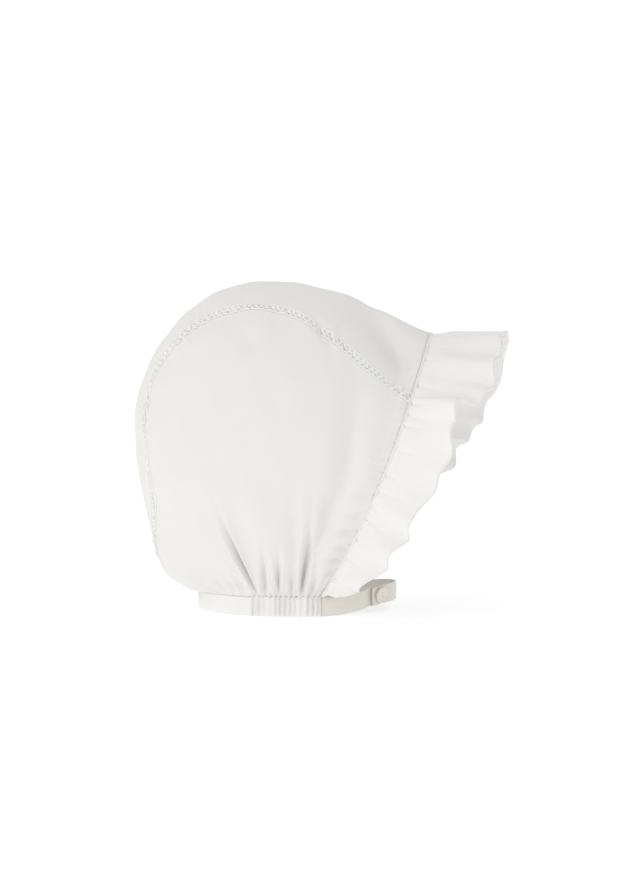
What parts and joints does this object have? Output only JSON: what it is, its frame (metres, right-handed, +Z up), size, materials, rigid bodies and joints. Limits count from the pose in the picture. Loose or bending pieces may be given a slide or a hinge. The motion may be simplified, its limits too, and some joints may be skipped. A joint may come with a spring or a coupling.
{
  "type": "baby bonnet",
  "caption": "Soft cotton baby bonnet with lace insertion strips, a gathered face ruffle, an elasticated neck band and a buttoned chin strap.",
  "frame": {"origin": "on the surface that the bonnet stands on, below the middle of its length and in the plane between its two sides", "axes": "+X out of the face opening, +Y to the wearer's left, +Z up, through the crown"},
  "size_m": [0.1998, 0.1641, 0.1771],
  "materials": {
    "cotton": "matt, fine plain weave",
    "ruffle_cotton": "matt, fine plain weave",
    "lace": "matt cotton thread",
    "strap_cotton": "matt, fine plain weave",
    "button": "satin"
  },
  "bodies": {
    "root": {"crown_panel": "cotton", "side_panel_right": "cotton", "side_panel_left": "cotton", "lace_right": "lace", "lace_left": "lace", "face_seam": "cotton", "ruffle": "ruffle_cotton", "neck_band": "cotton", "elastic_casing_right": "cotton", "elastic_casing_left": "cotton", "chin_strap_right": "strap_cotton", "chin_strap_left": "strap_cotton", "button": "button"}
  },
  "joints": []
}
